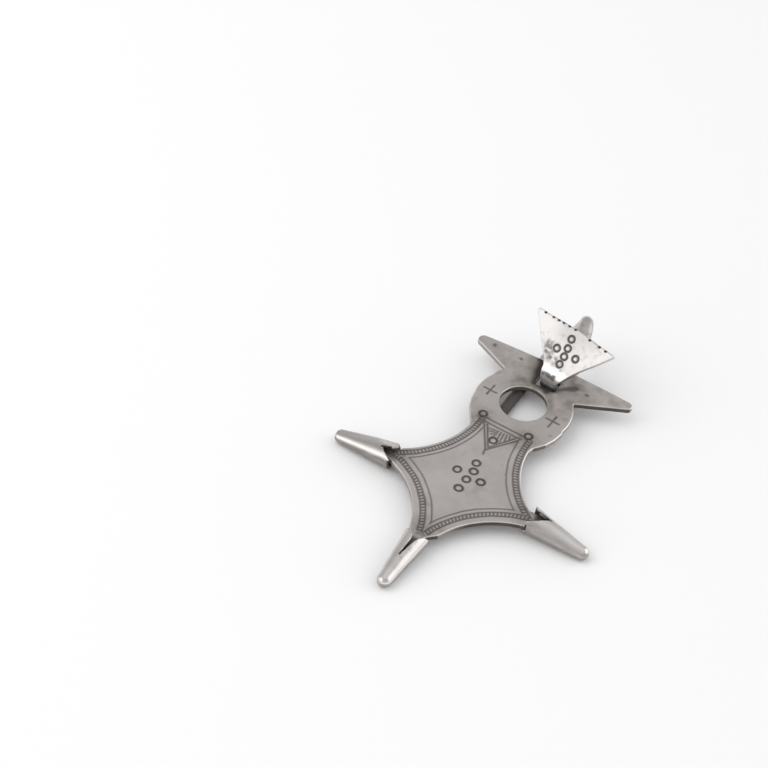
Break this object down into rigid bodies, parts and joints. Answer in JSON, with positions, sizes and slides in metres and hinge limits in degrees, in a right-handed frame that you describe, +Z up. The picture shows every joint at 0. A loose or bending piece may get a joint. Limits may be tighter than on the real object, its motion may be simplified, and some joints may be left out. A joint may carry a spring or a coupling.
{
  "type": "agadez cross earring",
  "caption": "Flat pierced cross with rolled cone ends and engraved borders, hung by a slot from an ear hook with a triangular head.",
  "frame": {"origin": "under the middle of the whole lying earring, on the surface it lies on", "axes": "+Z up from the surface, +Y along the cross towards its horns and the hook, +X across it"},
  "size_m": [0.0528, 0.0756, 0.015],
  "materials": {
    "plate_silver": "hammered and filed silver, satin, dark in the engraving",
    "cone_silver": "polished sheet silver, grey-brown low on the sides",
    "hook_silver": "bright hammered silver, tarnished in the bends"
  },
  "bodies": {
    "root": {"cross_plate": "plate_silver", "cone_left": "cone_silver", "cone_right": "cone_silver", "cone_bottom": "cone_silver", "ear_hook": "hook_silver"}
  },
  "joints": []
}
